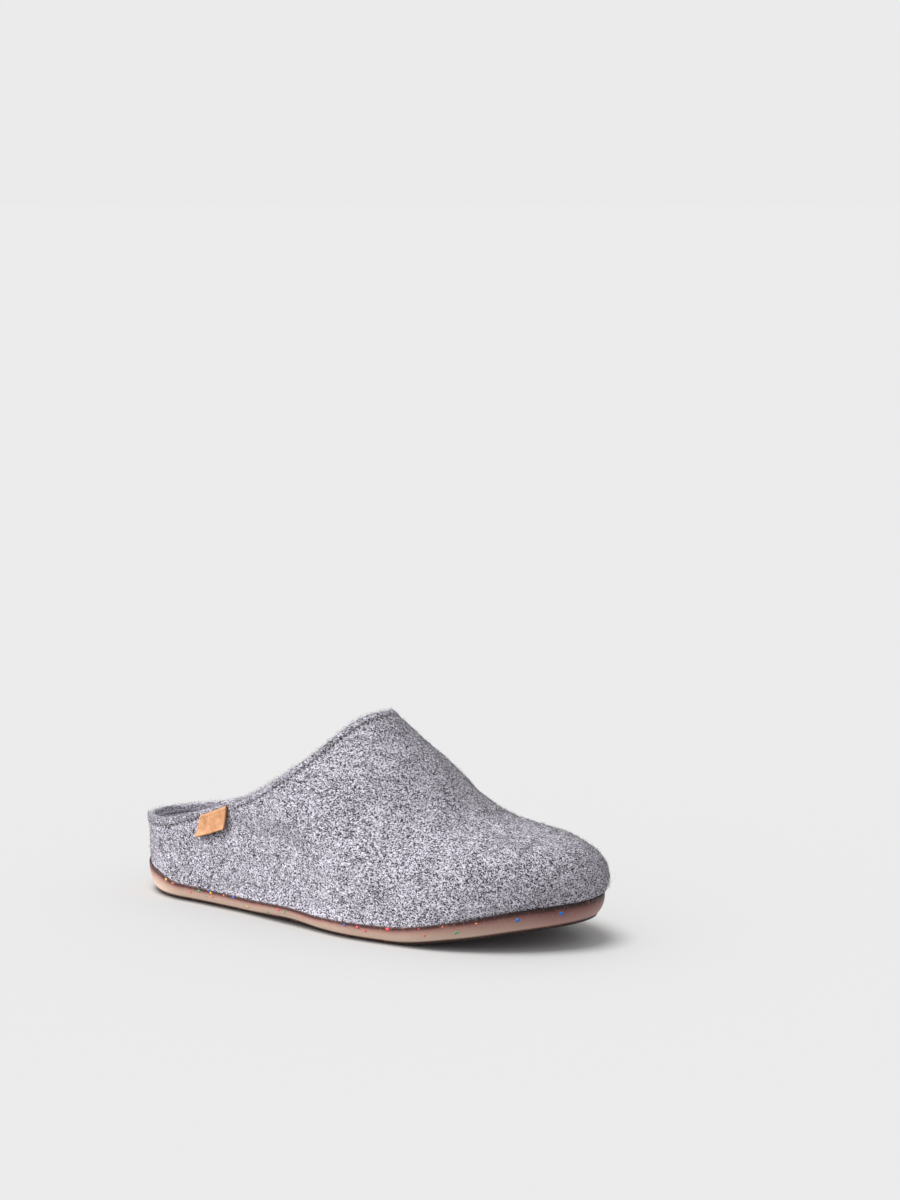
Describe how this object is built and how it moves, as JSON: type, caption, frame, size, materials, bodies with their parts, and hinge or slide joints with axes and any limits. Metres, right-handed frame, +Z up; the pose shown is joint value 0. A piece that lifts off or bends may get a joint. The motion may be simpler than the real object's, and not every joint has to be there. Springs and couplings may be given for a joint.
{
  "type": "felt slipper",
  "caption": "Felt house slipper for the right foot: open-backed hollow upper with a low heel cup in a rubber cup sole, with a small plain leather tab.",
  "frame": {"origin": "on the floor under the middle of the slipper's bounding box", "axes": "+X from the heel to the toe, +Y to the inner (medial) side of the right foot, +Z up from the floor"},
  "size_m": [0.2654, 0.0976, 0.1052],
  "materials": {
    "outsole": "satin",
    "upper": "felted",
    "collar_binding": "felted",
    "footbed": "felted",
    "label": "matte"
  },
  "bodies": {
    "root": {"outsole": "outsole", "upper": "upper", "collar_binding": "collar_binding", "footbed": "footbed", "label": "label"}
  },
  "joints": []
}
